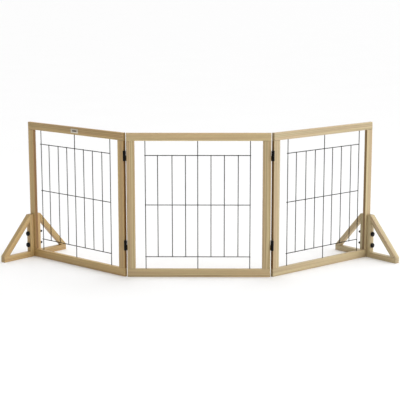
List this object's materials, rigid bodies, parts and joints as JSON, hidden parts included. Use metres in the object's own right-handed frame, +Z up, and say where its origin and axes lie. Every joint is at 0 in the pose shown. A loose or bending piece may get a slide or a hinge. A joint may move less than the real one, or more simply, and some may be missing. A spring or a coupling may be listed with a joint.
{
  "type": "folding pet gate",
  "caption": "Free-standing folding pet gate: timber-framed panels with black welded wire grids, pin hinges between them and triangular bolted-on feet at the outer ends.",
  "frame": {"origin": "middle of the centre panel's underside, on the floor", "axes": "+X along the centre panel, +Z up, and the front of the gate faces -Y; the wings fold back towards +Y"},
  "size_m": [1.76, 0.5457, 0.61],
  "materials": {
    "wood": "clear-coated light pine, satin, grain along each member",
    "wire": "black powder coat, satin",
    "hinge": "black enamel, semi-gloss",
    "hardware": "black oxide, satin",
    "knob": "black moulded plastic, satin",
    "plate": "brushed, with a plain dark bar"
  },
  "bodies": {
    "centre_panel": {"centre_top_rail": "wood", "centre_bottom_rail": "wood", "centre_left_stile": "wood", "centre_right_stile": "wood", "centre_wire_grid": "wire", "left_lower_hinge_centre_knuckle": "hinge", "left_lower_hinge_pin": "hardware", "left_upper_hinge_centre_knuckle": "hinge", "left_upper_hinge_pin": "hardware", "right_lower_hinge_centre_knuckle": "hinge", "right_lower_hinge_pin": "hardware", "right_upper_hinge_centre_knuckle": "hinge", "right_upper_hinge_pin": "hardware"},
    "left_wing": {"left_top_rail": "wood", "left_bottom_rail": "wood", "left_hinge_stile": "wood", "left_outer_stile": "wood", "left_wire_grid": "wire", "left_lower_hinge_wing_knuckle": "hinge", "left_upper_hinge_wing_knuckle": "hinge", "left_foot_front_post": "wood", "left_foot_front_base": "wood", "left_foot_front_brace": "wood", "left_foot_rear_post": "wood", "left_foot_rear_base": "wood", "left_foot_rear_brace": "wood", "left_lower_washer": "hardware", "left_lower_cap_nut": "hardware", "left_upper_washer": "hardware", "left_upper_cap_nut": "hardware", "name_plate": "plate"},
    "right_wing": {"right_top_rail": "wood", "right_bottom_rail": "wood", "right_hinge_stile": "wood", "right_outer_stile": "wood", "right_wire_grid": "wire", "right_lower_hinge_wing_knuckle": "hinge", "right_upper_hinge_wing_knuckle": "hinge", "right_foot_front_post": "wood", "right_foot_front_base": "wood", "right_foot_front_brace": "wood", "right_foot_rear_post": "wood", "right_foot_rear_base": "wood", "right_foot_rear_brace": "wood", "right_lower_washer": "hardware", "right_lower_cap_nut": "hardware", "right_upper_washer": "hardware", "right_upper_cap_nut": "hardware"},
    "left_lower_hand_screw": {"left_lower_knob": "knob", "left_lower_stud": "hardware"},
    "left_upper_hand_screw": {"left_upper_knob": "knob", "left_upper_stud": "hardware"},
    "right_lower_hand_screw": {"right_lower_knob": "knob", "right_lower_stud": "hardware"},
    "right_upper_hand_screw": {"right_upper_knob": "knob", "right_upper_stud": "hardware"}
  },
  "joints": [
    {"name": "left_wing_fold", "type": "hinge", "parent": "centre_panel", "child": "left_wing", "pos_m": [-0.307, -0.008, 0], "axis": [0, 0, -1], "range_deg": [-130.7, 9.3]},
    {"name": "right_wing_fold", "type": "hinge", "parent": "centre_panel", "child": "right_wing", "pos_m": [0.307, -0.008, 0], "axis": [0, 0, 1], "range_deg": [-130.7, 9.3]},
    {"name": "left_lower_hand_screw_turn", "type": "hinge", "parent": "left_wing", "child": "left_lower_hand_screw", "pos_m": [-0.75287, 0.38606, 0.055], "axis": [-0.6521, -0.7581, 0], "continuous": true},
    {"name": "left_upper_hand_screw_turn", "type": "hinge", "parent": "left_wing", "child": "left_upper_hand_screw", "pos_m": [-0.75287, 0.38606, 0.1065], "axis": [-0.6521, -0.7581, 0], "continuous": true},
    {"name": "right_lower_hand_screw_turn", "type": "hinge", "parent": "right_wing", "child": "right_lower_hand_screw", "pos_m": [0.75287, 0.38606, 0.055], "axis": [0.6521, -0.7581, 0], "continuous": true},
    {"name": "right_upper_hand_screw_turn", "type": "hinge", "parent": "right_wing", "child": "right_upper_hand_screw", "pos_m": [0.75287, 0.38606, 0.1065], "axis": [0.6521, -0.7581, 0], "continuous": true}
  ]
}
